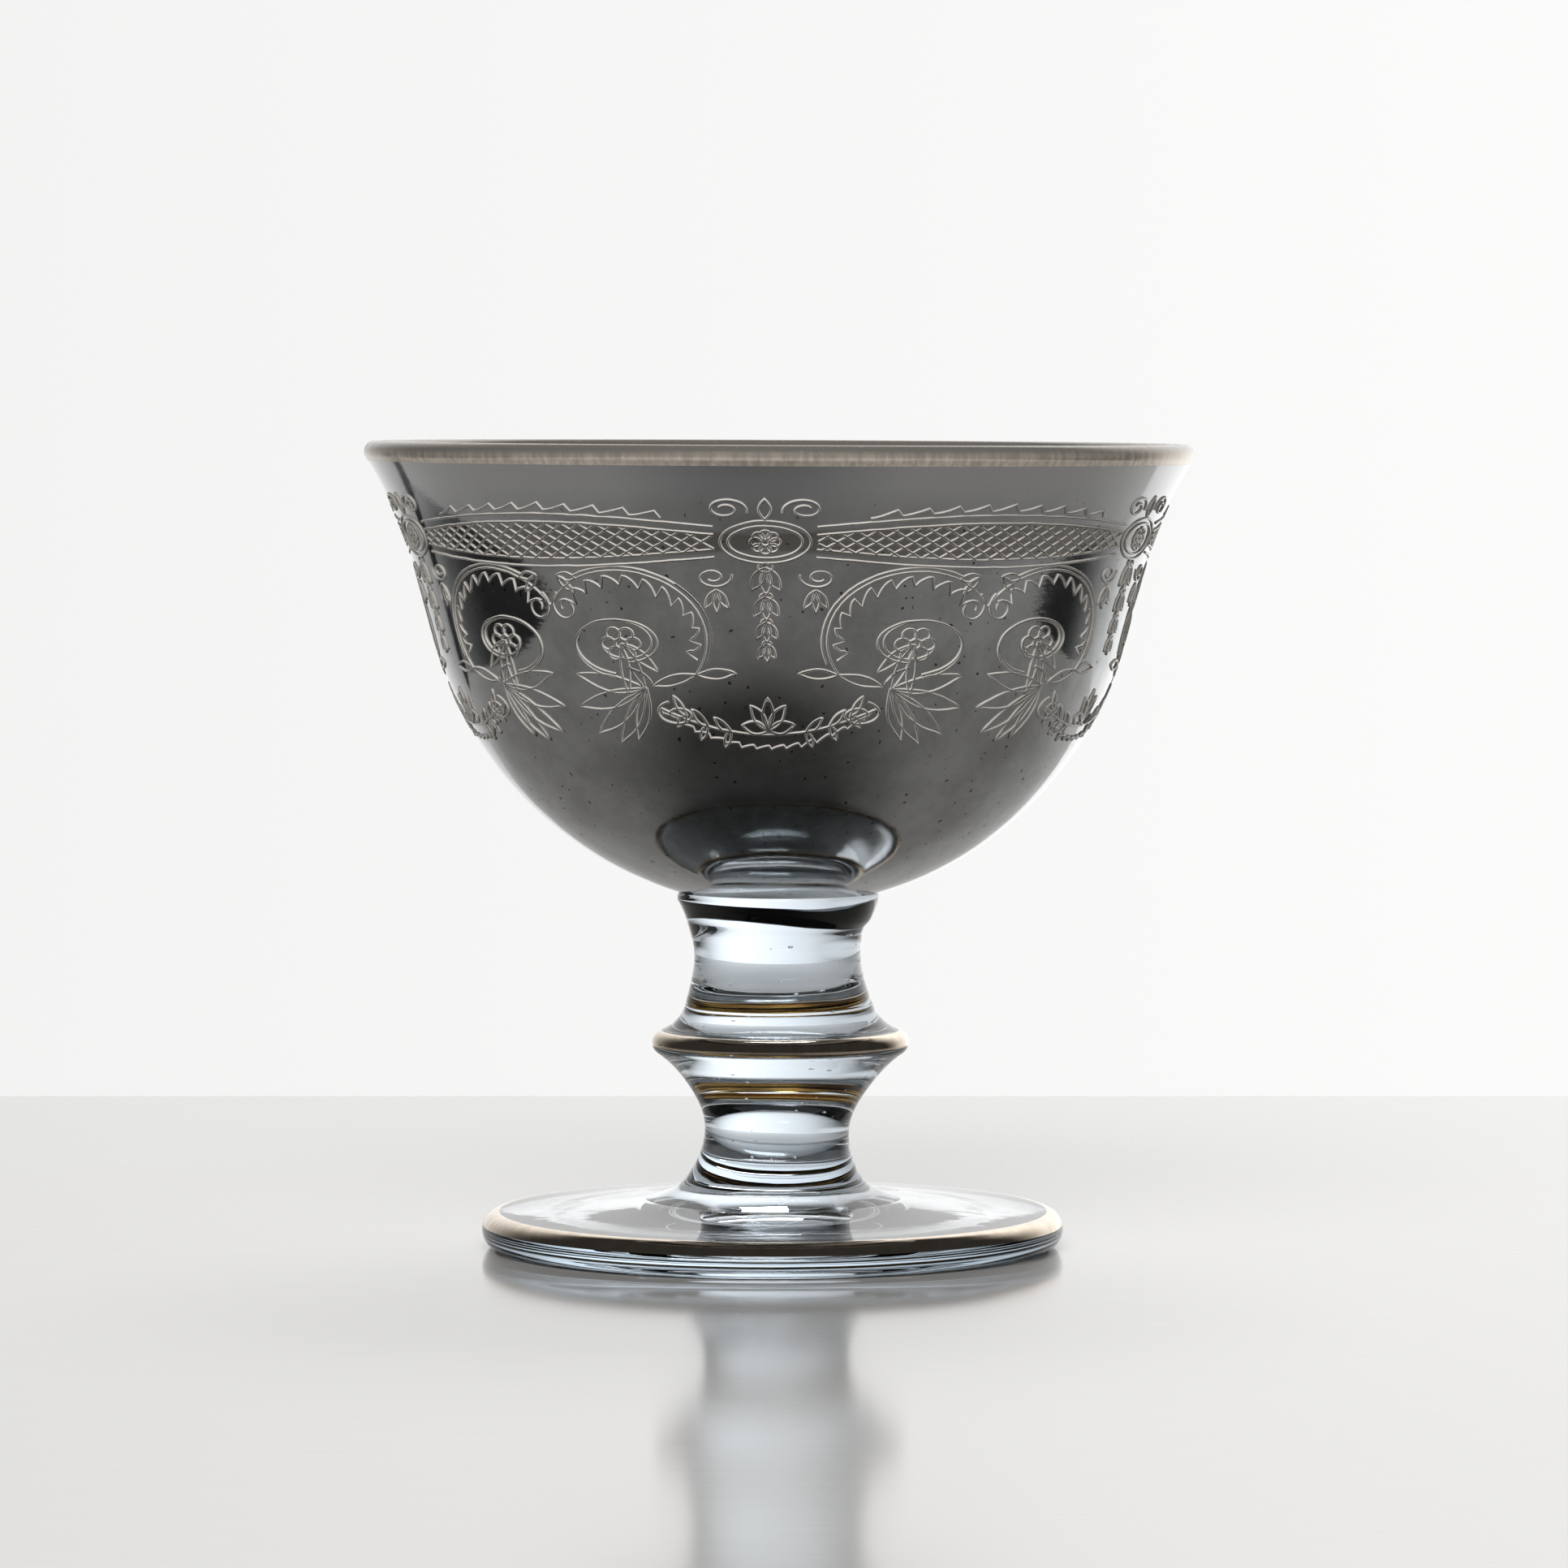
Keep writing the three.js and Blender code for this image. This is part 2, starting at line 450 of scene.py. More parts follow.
bandBackLook = {
    "dark": (0.16, 0.09, 0.04, 1), "paintedGlint": (1.0, 0.60, 0.18, 1),
    "cloudSize": 200.0, "cloudEdges": (0.48, 0.62), "polish": 0.05, "haze": 0.05,
}


# The warm underside of the fired bands, seen through the glass, with painted orange glints in cloudy
# patches.
def makeBandBack():
    look = bandBackLook
    material, shader = newMaterial("warmBandBack")
    clouds = shader.noise(shader.place(), look["cloudSize"])
    finishSurface(shader, {
        # Cloudy patches of painted orange glint on the dark warm back.
        "Base Color": shader.mixed(
            clouds.between(*look["cloudEdges"]), look["dark"], look["paintedGlint"],
        ),
        "Metallic": 1.0,
        "Roughness": look["polish"] + clouds * look["haze"],
    })
    return material


flankHighlightLook = {
    "dark": (0.56, 0.53, 0.49, 1), "pale": (0.82, 0.78, 0.72, 1),
    "cloudSize": 500.0, "metallic": 0.15, "roughness": 0.5, "unevenness": 0.2, "specular": 0.3,
}


# The matte flanks of the raised lines, pale as a painted highlight for their bright edges.
def makeFlankPaintedHighlight():
    look = flankHighlightLook
    material, shader = newMaterial("lineFlankPaintedHighlight")
    clouds = shader.noise(shader.place(), look["cloudSize"])
    finishSurface(shader, {
        "Base Color": shader.mixed(clouds, look["dark"], look["pale"]),
        "Metallic": look["metallic"],
        "Roughness": look["roughness"] + clouds * look["unevenness"],
        "Specular IOR Level": look["specular"],
    })
    return material


clearGlass = makeGlass("clearGlass", False)
footGlass = makeGlass("footGlass", True)
flankPaintedHighlight = makeFlankPaintedHighlight()
platinum = makePlatinum()
bandMetal = makeBandMetal("champagneBand", polishedBand)
lipMetal = makeBandMetal("streakyLipBand", lipBandLook)
bandBack = makeBandBack()
print("materials made")


# Foot.

skinGap = 0.01    # clearance between the glass and the back of a metal skin

# Steps along each stretch of outline.
bandSteps = 18
footSteps = {"under": 14, "edge": 12, "bare": 3, "upper": 22}
stemSteps = {"skirt": 20, "length": 14, "under": 14, "bare": 8, "over": 18, "collar": 18}

foot = {
    "jointRadius": 18.6, "ringInner": 33.0, "ringOuter": 40.3, "hollowHeight": 1.1,
    "shoulderHeight": 2.8, "shoulderRadius": 2.4, "skin": 0.2,
    "bandFrom": 14, "bandTo": 92,
    "hollowHandles": (14, (26, 0.75)), "edgeHandles": ((41.5, 0.2), 1.5),
    "topHandles": ((33, 5.4), (25, 6.1)),
}


# A fired band round an edge, warm on its back where it shows through the glass, with painted orange
# glints there.
def makeBand(name, outside, inside, node):
    band = spunPiece(name, [
        (outside, False, 0), (straight(outside[-1], inside[0], 1), False, 0),
        (inside, False, 1), (straight(inside[-1], outside[0], 1), False, 0),
    ], [bandMetal, bandBack])
    placed(band, "band_metal", node)


def makeFoot():
    radius = footSize["radius"]
    joint = (foot["jointRadius"], footSize["top"])
    shoulder = (radius - foot["shoulderRadius"], foot["shoulderHeight"])
    seat = foot["shoulderRadius"] - foot["skin"]
    a, b = foot["bandFrom"], foot["bandTo"]
    hollow = foot["hollowHeight"]
    inner, outer = (foot["ringInner"], 0), (foot["ringOuter"], 0)
    hollowReach, hollowHandle = foot["hollowHandles"]
    under = handleCurve((0, hollow), (hollowReach, hollow), hollowHandle, inner, footSteps["under"])
    ring = straight(inner, outer, 2)
    edgeHandle, edgeRise = foot["edgeHandles"]
    edge = handleCurve(
        outer, edgeHandle, (radius, edgeRise), (radius, shoulder[1]), footSteps["edge"],
    )
    bare = roundStretch(*shoulder, foot["shoulderRadius"], 0, a, footSteps["bare"])
    bandSeat = roundStretch(*shoulder, seat, a, b, bandSteps)
    bandEnd = roundStretch(*shoulder, foot["shoulderRadius"], b, b, 1)[0]
    upper = handleCurve(bandEnd, *foot["topHandles"], joint, footSteps["upper"])
    glass = spunPiece("footDisc", [
        (under, False, 0), (ring, False, 0), (edge, False, 0), (bare, False, 0),
        (straight(bare[-1], bandSeat[0], 1), False, 0), (bandSeat, True, 0),
        (straight(bandSeat[-1], bandEnd, 1), False, 0),
        (upper, False, 0), (straight(joint, (0, joint[1]), 2), True, 0),
    ], [footGlass])
    placed(glass, "clear_glass", "foot_disc")
    outside = roundStretch(*shoulder, foot["shoulderRadius"], a, b, bandSteps)
    inside = roundStretch(*shoulder, seat + skinGap, b, a, bandSteps)
    makeBand("footBand", outside, inside, "foot_band")


makeFoot()


# Foot button, stem lengths and knop.

button = {"topRadius": 12.8, "handles": ((17.2, 7.5), (14.0, 8.1))}
# Each length of stem: its end radii, its waist, and the handles below and above the waist.
lowerLength = {
    "bottomRadius": 12.8, "topRadius": 13.2, "waist": (10.5, 17),
    "belowHandles": ((11.6, 12.0), (10.5, 14.2)), "aboveHandles": ((10.5, 19.4), (11.9, 21.7)),
}
upperLength = {
    "bottomRadius": 13.6, "topRadius": 12.9, "waist": (12.1, 42.4),
    "belowHandles": ((13.0, 37.2), (12.1, 40.2)), "aboveHandles": ((12.1, 44.3), (12.5, 45.9)),
}


def makeButton():
    bottom = (foot["jointRadius"], buttonSize["bottom"])
    top = (button["topRadius"], buttonSize["top"])
    skirt = handleCurve(bottom, *button["handles"], top, stemSteps["skirt"])
    placed(spunPiece("footButton", [
        (straight((0, bottom[1]), bottom, 2), True, 0), (skirt, False, 0),
        (straight(top, (0, top[1]), 2), True, 0),
    ], [clearGlass]), "clear_glass", "foot_button")


def makeStem(name, node, size, length):
    bottom = (length["bottomRadius"], size["bottom"])
    top = (length["topRadius"], size["top"])
    count = stemSteps["length"]
    below = handleCurve(bottom, *length["belowHandles"], length["waist"], count)
    above = handleCurve(length["waist"], *length["aboveHandles"], top, count)
    placed(spunPiece(name, [
        (straight((0, bottom[1]), bottom, 2), True, 0), (below + above[1:], False, 0),
        (straight(top, (0, top[1]), 2), True, 0),
    ], [clearGlass]), "clear_glass", node)


knop = {
    "bottomRadius": 13.2, "topRadius": 13.6,
    "edgeHeight": 29.8, "edgeRadius": 1.8, "skin": 0.2, "underAngle": -58,
    "bandFrom": -12, "bandTo": 78,
    "underHandles": ((14.4, 25.1), (15.4, 26.5)), "overHandles": ((15.6, 32.2), (14.1, 33.6)),
}


def makeKnop():
    bottom = (knop["bottomRadius"], knopSize["bottom"])
    top = (knop["topRadius"], knopSize["top"])
    edge = (knopSize["radius"] - knop["edgeRadius"], knop["edgeHeight"])
    a, b = knop["bandFrom"], knop["bandTo"]
    bare = roundStretch(*edge, knop["edgeRadius"], knop["underAngle"], a, stemSteps["bare"])
    seat = roundStretch(*edge, knop["edgeRadius"] - knop["skin"], a, b, bandSteps)
    bandEnd = roundStretch(*edge, knop["edgeRadius"], b, b, 1)[0]
    under = handleCurve(bottom, *knop["underHandles"], bare[0], stemSteps["under"])
    over = handleCurve(bandEnd, *knop["overHandles"], top, stemSteps["over"])
    placed(spunPiece("glassKnop", [
        (straight((0, bottom[1]), bottom, 2), True, 0), (under + bare[1:], False, 0),
        (straight(bare[-1], seat[0], 1), False, 0), (seat, True, 0),
        (straight(seat[-1], bandEnd, 1), False, 0), (over, False, 0),
        (straight(top, (0, top[1]), 2), True, 0),
    ], [clearGlass]), "clear_glass", "knop")
    outside = roundStretch(*edge, knop["edgeRadius"], a, b, bandSteps)
    inside = roundStretch(*edge, knop["edgeRadius"] - knop["skin"] + skinGap, b, a, bandSteps)
    makeBand("knopBand", outside, inside, "knop_band")


bubbles = {
    "count": 34, "seed": 5, "smallest": 0.10, "largest": 0.26, "refraction": 0.667,
    "lowest": 12.5, "highest": 45.0, "furthest": 9.5,
    "tint": (0.97, 0.99, 1.0, 1), "clear": (1.0, 1.0, 1.0, 1), "cloudSize": 900.0, "haze": 0.02,
}


# Air caught in the stem and the knop.
def makeBubbles():
    b = bubbles
    material, shader = newMaterial("airBubble")
    clouds = shader.noise(shader.place(), b["cloudSize"])
    finishSurface(shader, {
        "Base Color": shader.mixed(clouds, b["tint"], b["clear"]),
        "Roughness": clouds * b["haze"],
        "IOR": b["refraction"],
        "Transmission Weight": 1.0,
    })
    chance = random.Random(b["seed"])
    bm = bmesh.new()
    for _ in range(b["count"]):
        turn = chance.uniform(0, 2 * pi)
        across = b["furthest"] * chance.random() ** 0.5
        height = chance.uniform(b["lowest"], b["highest"])
        centre = Vector((across * cos(turn), across * sin(turn), height))
        size = chance.uniform(b["smallest"], b["largest"]) * millimetre
        made = bmesh.ops.create_icosphere(bm, subdivisions=2, radius=size)
        bmesh.ops.translate(bm, vec=shapedByHand(centre) * millimetre, verts=made["verts"])
    for face in bm.faces:
        face.smooth = True
    placed(finished("airBubbles", bm, [material]), "clear_glass")


makeButton()
makeStem("lowerStem", "lower_stem", lowerStemSize, lowerLength)
makeStem("upperStem", "upper_stem", upperStemSize, upperLength)
makeKnop()
makeBubbles()


# Bowl.

cup = {
    "radius": 51.5, "centreHeight": 101, "hollowRadius": 49.2, "hollowCentreHeight": 102,
    "flareHeight": 87, "jointRadius": 14.6, "skin": 0.2,
    "lowerReach": 11, "upperReach": 11.75, "lipSlope": (0.515, 0.857),
    "bandHeight": 114, "bandRadius": 59.5, "insideRadius": 57.05,
    "beadRadius": 1.5, "beadCentre": 58.55, "beadFrom": -38, "beadTo": 222, "insideRise": 0.2,
    "collarRadius": 12.9, "collarHandles": ((13.4, 48.2), (14.9, 49.9)), "collarDrop": 0.15,
}
beadSteps = 28
cupSteps = {"coat": 44, "coatFlare": 24, "base": 12, "hollow": 40, "hollowFlare": 20}


# The cup's sphere from a radius out to the flare, then the flare up to an end point.
def cupAndFlare(sphereRadius, centreHeight, startRadius, end, arcCount, flareCount):
    startAngle = -degrees(acos(startRadius / sphereRadius))
    topAngle = -degrees(asin((centreHeight - cup["flareHeight"]) / sphereRadius))
    sphere = roundStretch(0, centreHeight, sphereRadius, startAngle, topAngle, arcCount)
    r, z = sphere[-1]
    along = Vector((centreHeight - z, r)).normalized() * cup["lowerReach"]
    lowerHandle = (r + along.x, z + along.y)
    slope = cup["lipSlope"]
    upperHandle = (end[0] - cup["upperReach"] * slope[0], end[1] - cup["upperReach"] * slope[1])
    return sphere + handleCurve((r, z), lowerHandle, upperHandle, end, flareCount)[1:]


coatOutside = cupAndFlare(
    cup["radius"], cup["centreHeight"], cup["jointRadius"],
    (cup["bandRadius"], cup["bandHeight"]), cupSteps["coat"], cupSteps["coatFlare"],
)
coatInside = movedLeft(coatOutside, cup["skin"])
glassOutside = movedLeft(coatOutside, cup["skin"] + skinGap)


def makeBowl():
    glassRadius = cup["radius"] - cup["skin"] - skinGap
    baseAngle = -degrees(acos(glassOutside[0][0] / glassRadius))
    base = roundStretch(0, cup["centreHeight"], glassRadius, -90, baseAngle, cupSteps["base"])
    base[-1] = glassOutside[0]
    hollow = cupAndFlare(
        cup["hollowRadius"], cup["hollowCentreHeight"], 0.0,
        (cup["insideRadius"], cup["bandHeight"] + cup["insideRise"]),
        cupSteps["hollow"], cupSteps["hollowFlare"],
    )
    bead = (cup["beadCentre"], lipSize["top"] - cup["beadRadius"])
    a, b = cup["beadFrom"], cup["beadTo"]
    beadOut = roundStretch(*bead, cup["beadRadius"], a, b, beadSteps)
    beadIn = roundStretch(*bead, cup["beadRadius"] - cup["skin"], a, b, beadSteps)
    beadGlass = roundStretch(*bead, cup["beadRadius"] - cup["skin"] - skinGap, a, b, beadSteps)
    placed(spunPiece("bowlWall", [
        (base, True, 0), (glassOutside, True, 0),
        (straight(glassOutside[-1], beadGlass[0], 1), True, 0),
        (beadGlass, True, 0), (straight(beadGlass[-1], hollow[-1], 1), False, 0),
        (hollow[::-1], False, 0),
    ], [clearGlass]), "clear_glass", "bowl_wall")

    placed(spunPiece("bowlCoat", [
        (coatOutside, False, 0), (straight(coatOutside[-1], coatInside[-1], 1), False, 0),
        (coatInside[::-1], False, 0), (straight(coatInside[0], coatOutside[0], 1), False, 0),
    ], [platinum]), "mirror_coat", "bowl_coat")

    placed(spunPiece("lipBand", [
        (straight(coatInside[-1], coatOutside[-1], 1), False, 0),
        (straight(coatOutside[-1], beadOut[0], 1), False, 0), (beadOut, False, 0),
        (straight(beadOut[-1], hollow[-1], 1), False, 0),
        (straight(hollow[-1], beadIn[-1], 1), False, 0), (beadIn[::-1], False, 0),
        (straight(beadIn[0], coatInside[-1], 1), False, 0),
    ], [lipMetal]), "band_metal", "lip_band")

    bottom = (cup["collarRadius"], collarSize["bottom"])
    sideTop = (cup["jointRadius"], coatOutside[0][1] - cup["collarDrop"])
    side = handleCurve(bottom, *cup["collarHandles"], sideTop, stemSteps["collar"])
    placed(spunPiece("bowlCollar", [
        (straight((0, bottom[1]), bottom, 2), True, 0), (side, False, 0),
        (straight(side[-1], glassOutside[0], 1), False, 0), (base[::-1], True, 0),
    ], [clearGlass]), "clear_glass", "bowl_collar")


makeBowl()


# The ornament is lines raised on the coat: a lattice band, an oval medallion, leafy scrolls,
# a string of husks and a swag. A drawing place is (turn in degrees, height in millimetres).

ornament = {
    "repeats": 5, "firstTurn": -2.0, "lineRadius": 0.2, "lineSides": 2, "lift": 0.05,
    "shake": 0.07, "shakeSize": 2.2, "shakeSeed": 7, "swell": 0.2, "swellSize": 3, "crown": 0.86,
    "lowest": 60, "highest": 113,
}
lattice = {
    "start": 7.5, "middleHeight": 103.5, "endHalfHeight": 1.0, "bulge": 1.55,
    "cell": 2.9, "slope": 0.52, "borderGap": 1.1, "steps": 60,
    "edgeGap": 1.65, "edgeMargin": 8, "edgeTeeth": 9, "edgeDepth": 0.9,
    "barSteps": 24, "barStep": 0.25, "shortest": 4,
}
medallion = {
    "centre": (0, 103.5), "reach": (6.6, 2.9), "innerReach": (5.4, 2.2),
    "petals": 8, "flowerReach": (2.3, 1.7),
    "curls": (((5.6, 108.0), (3.2, 1.7), 195, -330), ((8.0, 98.6), (3.0, 1.6), 165, 690)),
    "bud": {"root": (0, 106.6), "leans": (90,), "length": 2.9, "width": 0.9},
}
scroll = {
    "centre": (23.5, 90.0), "reach": (14.0, 9.4), "turns": (212, 28),
    "outerShare": 1.06, "outerTurns": (200, 60),
    "teethShare": 0.93, "teethTurns": (200, 35), "teeth": 11, "toothDepth": 1.7,
    "curlCentre": (24.0, 89.2), "curlReach": (10.2, 4.9), "curlTurns": (-80, 400), "curlEnd": 0.3,
    "innerShare": (0.92, 0.88), "innerTurns": (-80, 260), "innerEnd": 0.6,
    "tendril": ((33.2, 94.2), (2.7, 2.3), 60, -390),
    "petals": 6, "flowerReach": (3.6, 2.5),
    "fans": (
        {"root": (24.0, 89.2), "leans": (205, 235, 262), "length": 7.2, "width": 0.8, "bend": 1.0},
        {"root": (7.6, 96.9), "leans": (235, 270, 305), "length": 3.2, "width": 0.55},
        {"root": (34.0, 98.6), "leans": (185, 220), "length": 3.6, "width": 0.55},
        {"root": (11.5, 85.0), "leans": (178,), "length": 6.5, "width": 0.7},
        {"root": (11.5, 85.0), "leans": (-12,), "length": 8.0, "width": 0.7},
    ),
}
husks = {
    "top": 100.0, "count": 4, "length": 3.9, "shrink": 0.86, "apart": 1.05,
    "leans": (-35, 0, 35), "width": 0.22, "cap": (0.28, 0.16),
}
spray = {
    "root": (20.5, 83.0), "lengths": (13, 14, 13, 10.5, 8), "first": 2, "apart": -19,
    "width": 1.2, "bend": 1.4,
    "curl": ((15.5, 79.4), (4.2, 1.9), 70, -420), "stalk": ((25.5, 83.4), (6.0, 2.6), 175, 110),
}
swag = {
    "reach": 18.5, "endHeight": 80.2, "sag": 5.2, "depth": 1.6, "steps": 20,
    "teeth": 14, "toothDepth": 0.55,
    "leafRoots": ((6.5, 77.0, 25), (10.5, 77.8, 32), (14.0, 79.2, 45)),
    "upperLeaf": {"turned": 0, "length": 3.4, "width": 0.55, "bend": 0.6},
    "lowerLeaf": {"turned": -75, "length": 2.6, "width": 0.5, "bend": -0.4},
    "middle": {"root": (0, 77.2), "leans": (10, 50, 90, 130, 170), "length": 4.6, "width": 0.9},
}
curlEnd = 0.3        # how small a plain curl winds, as a share of its start
ovalSteps = {"fewest": 12, "degrees": 7}
leafSteps = 10
tooth = {"steps": 6, "curve": 1.6, "unevenness": 0.5, "spread": 1.7}
flower = {"eye": 0.24, "petalPlace": 0.62, "petal": 0.34}


# Part of an oval; a shrink below 1 winds it into a spiral.
def ovalArc(centre, reach, fromDegrees=0, toDegrees=360, shrink=1.0):
    count = max(ovalSteps["fewest"], round(abs(toDegrees - fromDegrees) / ovalSteps["degrees"]))
    stroke = []
    for i in range(count + 1):
        t = i / count
        angle = radians(fromDegrees + (toDegrees - fromDegrees) * t)
        size = shrink ** t
        stroke.append((
            centre[0] + reach[0] * size * cos(angle), centre[1] + reach[1] * size * sin(angle),
        ))
    return stroke


def scaled(reach, share):
    return (reach[0] * share, reach[1] * share)


def pointedLeaf(root, degreesUp, length, width, bend=0.0):
    along = Vector((cos(radians(degreesUp)), sin(radians(degreesUp))))
    aside = Vector((-along.y, along.x))
    steps = [i / leafSteps for i in range(leafSteps + 1)]
    sides = []
    for side in (1, -1):
        sides.append([
            Vector(root) + along * length * t + aside * (side * width * sin(pi * t) + bend * t * t)
            for t in steps
        ])
    return [tuple(p) for p in sides[0] + sides[1][::-1][1:]]


def leafFan(fan):
    return [
        pointedLeaf(fan["root"], lean, fan["length"], fan["width"], fan.get("bend", 0.0))
        for lean in fan["leans"]
    ]


# Cuts a leaf's teeth into a stroke, towards its left, each rising slowly and ending in a point.
def toothed(stroke, teeth, depth):
    cut = []
    places = len(stroke) - 1
    steps = tooth["steps"]
    fine = teeth * steps
    for i in range(fine + 1):
        at = i / fine * places
        k = min(places - 1, int(at))
        a, b = Vector(stroke[k]), Vector(stroke[k + 1])
        along = (b - a).normalized()
        rise = i % steps / (steps - 1)
        uneven = noise.noise(Vector((i // steps * tooth["spread"], depth, 0)))
        size = depth * rise ** tooth["curve"] * (1 + tooth["unevenness"] * uneven)
        cut.append(tuple(a.lerp(b, at - k) + Vector((-along.y, along.x)) * size))
    return cut


def rosette(centre, petals, reach):
    strokes = [ovalArc(centre, scaled(reach, flower["eye"]))]
    out = flower["petalPlace"]
    for i in range(petals):
        angle = radians(360 * i / petals)
        middle = (centre[0] + reach[0] * out * cos(angle), centre[1] + reach[1] * out * sin(angle))
        strokes.append(ovalArc(middle, scaled(reach, flower["petal"])))
    return strokes


def bothSides(strokes):
    return strokes + [[(-turn, height) for turn, height in stroke] for stroke in strokes]


def halfRepeat():
    return 180 / ornament["repeats"]


def latticeHalfHeight(turn):
    along = (turn - lattice["start"]) / (2 * (halfRepeat() - lattice["start"]))
    return lattice["endHalfHeight"] + lattice["bulge"] * sin(pi * min(1, max(0, along)))


def latticeStrokes():
    start, end = lattice["start"], 2 * halfRepeat() - lattice["start"]
    middle, steps = lattice["middleHeight"], lattice["steps"]
    turns = [start + (end - start) * i / steps for i in range(steps + 1)]
    strokes = []
    for sign in (1, -1):
        for apart in (0, lattice["borderGap"]):
            strokes.append([
                (turn, middle + sign * (latticeHalfHeight(turn) + apart)) for turn in turns
            ])
    margin = lattice["edgeMargin"]
    edge = [
        (turn, middle + latticeHalfHeight(turn) + lattice["edgeGap"])
        for turn in turns[margin:-margin]
    ]
    strokes.append(toothed(edge, lattice["edgeTeeth"], lattice["edgeDepth"]))
    for slope in (lattice["slope"], -lattice["slope"]):
        crossing = start
        while crossing < end:
            strokes.append(latticeBar(crossing, slope, start, end))
            crossing += lattice["cell"]
    return [stroke for stroke in strokes if len(stroke) >= lattice["shortest"]]


# One slanting bar of the lattice, as far as the band's edges.
def latticeBar(crossing, slope, start, end):
    bar = []
    for i in range(-lattice["barSteps"], lattice["barSteps"] + 1):
        turn = crossing + i * lattice["barStep"]
        rise = slope * (turn - crossing)
        if start < turn < end and abs(rise) <= latticeHalfHeight(turn):
            bar.append((turn, lattice["middleHeight"] + rise))
    return bar


def medallionStrokes():
    m = medallion
    strokes = [ovalArc(m["centre"], m["reach"]), ovalArc(m["centre"], m["innerReach"])]
    strokes += rosette(m["centre"], m["petals"], m["flowerReach"])
    curls = [ovalArc(*curl, curlEnd) for curl in m["curls"]]
    return strokes + bothSides(curls) + leafFan(m["bud"])


def huskStrokes():
    strokes = []
    height = husks["top"]
    length = husks["length"]
    for _ in range(husks["count"]):
        for lean in husks["leans"]:
            strokes.append(pointedLeaf((0, height), -90 + lean, length, length * husks["width"]))
        strokes.append(ovalArc((0, height), scaled(husks["cap"], length)))
        height -= length * husks["apart"]
        length *= husks["shrink"]
    return strokes


def scrollStrokes():
    s = scroll
    centre, reach = s["centre"], s["reach"]
    inside = ovalArc(centre, scaled(reach, s["teethShare"]), *s["teethTurns"])
    innerReach = (s["curlReach"][0] * s["innerShare"][0], s["curlReach"][1] * s["innerShare"][1])
    strokes = [
        ovalArc(centre, reach, *s["turns"]),
        ovalArc(centre, scaled(reach, s["outerShare"]), *s["outerTurns"]),
        toothed(inside[::-1], s["teeth"], s["toothDepth"]),
        ovalArc(s["curlCentre"], s["curlReach"], *s["curlTurns"], s["curlEnd"]),
        ovalArc(s["curlCentre"], innerReach, *s["innerTurns"], s["innerEnd"]),
        ovalArc(*s["tendril"], curlEnd),
    ]
    for fan in s["fans"]:
        strokes += leafFan(fan)
    strokes += rosette(s["curlCentre"], s["petals"], s["flowerReach"])
    return bothSides(strokes)


def sprayStrokes():
    strokes = []
    for i, length in enumerate(spray["lengths"]):
        lean = spray["first"] + spray["apart"] * i
        strokes.append(pointedLeaf(spray["root"], lean, length, spray["width"], spray["bend"]))
    return strokes + [ovalArc(*spray["curl"], curlEnd), ovalArc(*spray["stalk"])]


def swagStrokes():
    leaves = []
    for turn, height, lean in swag["leafRoots"]:
        for leaf in (swag["upperLeaf"], swag["lowerLeaf"]):
            leaves.append(pointedLeaf(
                (turn, height), lean + leaf["turned"], leaf["length"], leaf["width"], leaf["bend"],
            ))
    steps = swag["steps"]
    turns = [swag["reach"] * (i / steps - 1) for i in range(2 * steps + 1)]
    hang = [1 - (turn / swag["reach"]) ** 2 for turn in turns]
    curve = [(turn, swag["endHeight"] - swag["sag"] * h) for turn, h in zip(turns, hang)]
    above = [(turn, height + swag["depth"] * h) for (turn, height), h in zip(curve, hang)]
    toothedEdge = toothed(curve[::-1], swag["teeth"], swag["toothDepth"])
    return bothSides(sprayStrokes() + leaves) + [toothedEdge, above] + leafFan(swag["middle"])


# The coat's radius and slope at a height.
def coatAt(height):
    for (r1, z1), (r2, z2) in zip(coatOutside, coatOutside[1:]):
        if z1 <= height <= z2:
            slope = (r2 - r1) / (z2 - z1)
            return r1 + slope * (height - z1), slope
    raise ValueError("no coat at " + str(height))


# A drawing place laid on the coat, with a small shake.
def onCup(turn, height):
    shake = noise.noise_vector(Vector((turn, height, 0)) / ornament["shakeSize"]) * ornament["shake"]
    radius, slope = coatAt(height + shake.y)
    angle = radians(turn + shake.x)
    across = radius + ornament["lift"]
    place = Vector((across * sin(angle), -across * cos(angle), height + shake.y))
    return shapedByHand(place) * millimetre


# Sets the mirror crown of each line apart from its flanks, which carry the pale painted highlight.
def splitCrown(bm):
    for face in bm.faces:
        middle = face.calc_center_median()
        height = min(ornament["highest"], max(ornament["lowest"], middle.z / millimetre))
        slope = coatAt(height)[1]
        outward = Vector((middle.x, middle.y, 0)).normalized() - Vector((0, 0, slope))
        facing = face.normal.dot(outward.normalized())
        face.material_index = 1 if facing > ornament["crown"] else 0
        face.smooth = True


